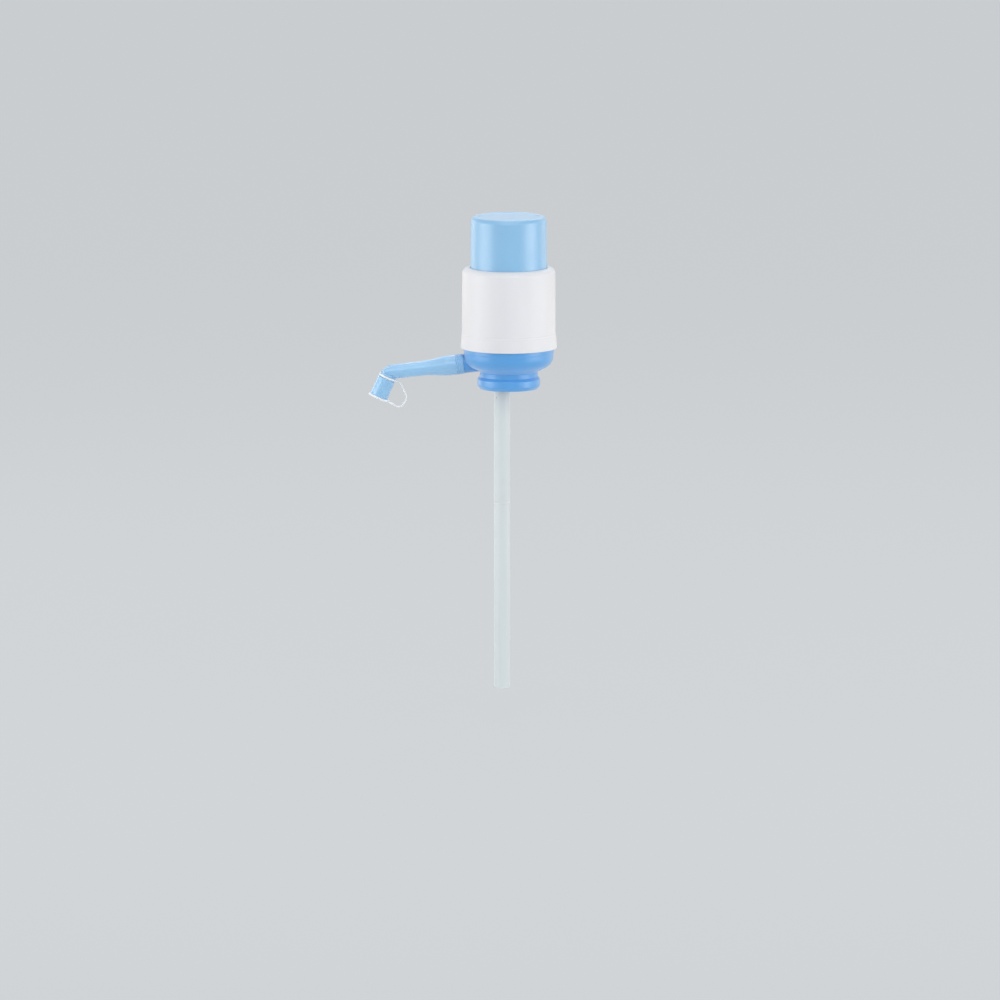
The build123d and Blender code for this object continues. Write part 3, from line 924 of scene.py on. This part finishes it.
def return_spring():
    """Round wire coiled into a spring with closed ends."""
    low, high = heights("return_spring")
    wire_radius = 0.88
    coil_radius = 12.7
    turns = 8.0
    closed_turns = 0.8
    closed_gap = 0.1
    closed_pitch = 2 * wire_radius + closed_gap
    steps, sides = 48, 12
    climb_turns = turns - 2 * closed_turns
    climb = high - low - 2 * wire_radius - 2 * closed_turns * closed_pitch
    section = [2 * pi * side / sides for side in range(sides)]
    mesh = bmesh.new()
    loops = []
    for number in range(int(turns * steps) + 1):
        turn = number / steps
        in_low = min(turn, closed_turns) * closed_pitch
        in_middle = min(max(turn - closed_turns, 0), climb_turns) / climb_turns * climb
        in_high = max(turn - closed_turns - climb_turns, 0) * closed_pitch
        height = low + wire_radius + in_low + in_middle + in_high
        outward = Vector((cos(2 * pi * turn), sin(2 * pi * turn), 0))
        centre = outward * coil_radius + Vector((0, 0, height))
        loop = []
        for angle in section:
            spot = centre + outward * wire_radius * cos(angle) + Vector((0, 0, wire_radius * sin(angle)))
            loop.append(mesh.verts.new(spot * MM))
        loops.append(loop)
    bridge(mesh, loops, closed=False)
    spring = finished(piece("return_spring_wire", mesh), drawn_steel, "base", ["return_spring"])
    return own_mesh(spring)


def dress_inner_nodes():
    """Materials of the model's own nodes that stay."""
    finish = {
        "neck_seal": seal_rubber,
        "plate_gasket": seal_rubber,
        "delivery_valve": seal_rubber,
        "intake_valve": seal_rubber,
        "spout_seal": seal_rubber,
        "valve_plate": inner_white,
        "bellows_clamp": inner_white,
        "bellows_head": inner_white,
        "tube_connector": inner_white,
        "plate_screws": drawn_steel,
    }
    for name, material in finish.items():
        slots = frame["nodes"][name].data.materials
        slots.clear()
        slots.append(material)


# Stage

backdrop_colour = (0.62, 0.645, 0.665, 1)


def floor():
    """Floor that the camera sees as the backdrop, with a trace of the object's shadow."""
    size = 30.0
    drop = 0.026
    seen_share = 0.9
    mesh = bmesh.new()
    bmesh.ops.create_grid(mesh, x_segments=1, y_segments=1, size=size)
    ground = piece("floor", mesh, Matrix.Translation((0, 0, model_box[0].z - drop)))
    material, tree, shader, _ = nodes_of("floor")
    shader.inputs["Base Color"].default_value = (0.84, 0.86, 0.88, 1)
    shader.inputs["Roughness"].default_value = 0.9
    backdrop = tree.nodes.new("ShaderNodeEmission")
    backdrop.inputs["Color"].default_value = backdrop_colour
    seen = seen_directly(tree, seen_share)
    shown = mixed(tree, seen, shader.outputs["BSDF"], backdrop.outputs["Emission"])
    tree.links.new(shown, tree.nodes["Material Output"].inputs["Surface"])
    ground.data.materials.append(material)


def mixed(tree, share, first, second):
    """Mix of two shaders."""
    mix = tree.nodes.new("ShaderNodeMixShader")
    tree.links.new(share, mix.inputs["Fac"])
    tree.links.new(first, mix.inputs[1])
    tree.links.new(second, mix.inputs[2])
    return mix.outputs["Shader"]


def seen_directly(tree, share):
    """A share for rays that come from the camera, a shiny surface or a clear one, and 0 for all others."""
    path = tree.nodes.new("ShaderNodeLightPath")
    total = path.outputs["Is Camera Ray"]
    for name in ("Is Glossy Ray", "Is Transmission Ray"):
        add = tree.nodes.new("ShaderNodeMath")
        add.operation = "MAXIMUM"
        tree.links.new(total, add.inputs[0])
        tree.links.new(path.outputs[name], add.inputs[1])
        total = add.outputs["Value"]
    scale = tree.nodes.new("ShaderNodeMath")
    scale.operation = "MULTIPLY"
    scale.inputs[1].default_value = share
    tree.links.new(total, scale.inputs[0])
    return scale.outputs["Value"]


def sky():
    """Surroundings: the pale grey backdrop where the camera looks, softer as light on the object."""
    world = bpy.data.worlds.new("surroundings")
    bpy.context.scene.world = world
    world.use_nodes = True
    tree = world.node_tree
    light = tree.nodes["Background"]
    light.inputs["Color"].default_value = (0.95, 0.97, 1.0, 1)
    light.inputs["Strength"].default_value = 0.32
    backdrop = tree.nodes.new("ShaderNodeBackground")
    backdrop.inputs["Color"].default_value = backdrop_colour
    seen = seen_directly(tree, 1.0)
    shown = mixed(tree, seen, light.outputs["Background"], backdrop.outputs["Background"])
    tree.links.new(shown, tree.nodes["World Output"].inputs["Surface"])


def lamp(name, place, width, height, power, colour=(1, 1, 1)):
    """Soft box that faces the pump's bowl."""
    data = bpy.data.lights.new(name, "AREA")
    data.shape = "RECTANGLE"
    data.size = width
    data.size_y = height
    data.energy = power
    data.color = colour
    thing = bpy.data.objects.new(name, data)
    bpy.context.scene.collection.objects.link(thing)
    thing.location = place
    bowl_middle = Vector((0, 0, 0.03))
    thing.rotation_euler = (bowl_middle - Vector(place)).to_track_quat("-Z", "Y").to_euler()


def lights():
    """Soft boxes at both sides, in front and behind, and broad ones high in front, above and behind."""
    warm = (1.0, 0.95, 0.88)
    lamp("left_box", (-1.82, -0.45, 0.15), 1.5, 0.9, 15, warm)
    lamp("right_box", (1.75, -0.65, 0.15), 1.2, 0.9, 13.5, warm)
    lamp("left_rim", (-1.4, 1.3, 0.15), 0.9, 0.9, 4.5, warm)
    lamp("right_rim", (1.5, 1.2, 0.15), 0.8, 0.9, 3, warm)
    cool = (0.92, 0.97, 1.0)
    lamp("high_box", (0, -1.8, 1.35), 1.8, 1.3, 15, cool)
    lamp("top_box", (0, -0.2, 1.9), 1.3, 1.3, 9, cool)
    lamp("back_box", (0.1, 1.6, 1.5), 1.4, 1.4, 12)


def camera():
    """Long lens from the front, eight degrees above the pump."""
    elevation = radians(8.1)
    distance = 21.02
    aim = Vector((-0.0083, 0, -0.116))
    data = bpy.data.cameras.new("camera")
    data.lens = 800
    data.sensor_width = 36
    data.clip_end = 100
    thing = bpy.data.objects.new("camera", data)
    bpy.context.scene.collection.objects.link(thing)
    thing.location = aim + Vector((0, -cos(elevation), sin(elevation))) * distance
    thing.rotation_euler = (aim - thing.location).to_track_quat("-Z", "Y").to_euler()
    bpy.context.scene.camera = thing


floor()
sky()
lights()
camera()
bpy.context.scene.view_settings.view_transform = "Standard"

press_cap()
body_sleeve()
base_housing()
spout()
dust_cap()
cap_strap()
dip_tube("upper_dip_tube", "upper_tube")
dip_tube("lower_dip_tube", "lower_tube")
bellows()
return_spring()
dress_inner_nodes()
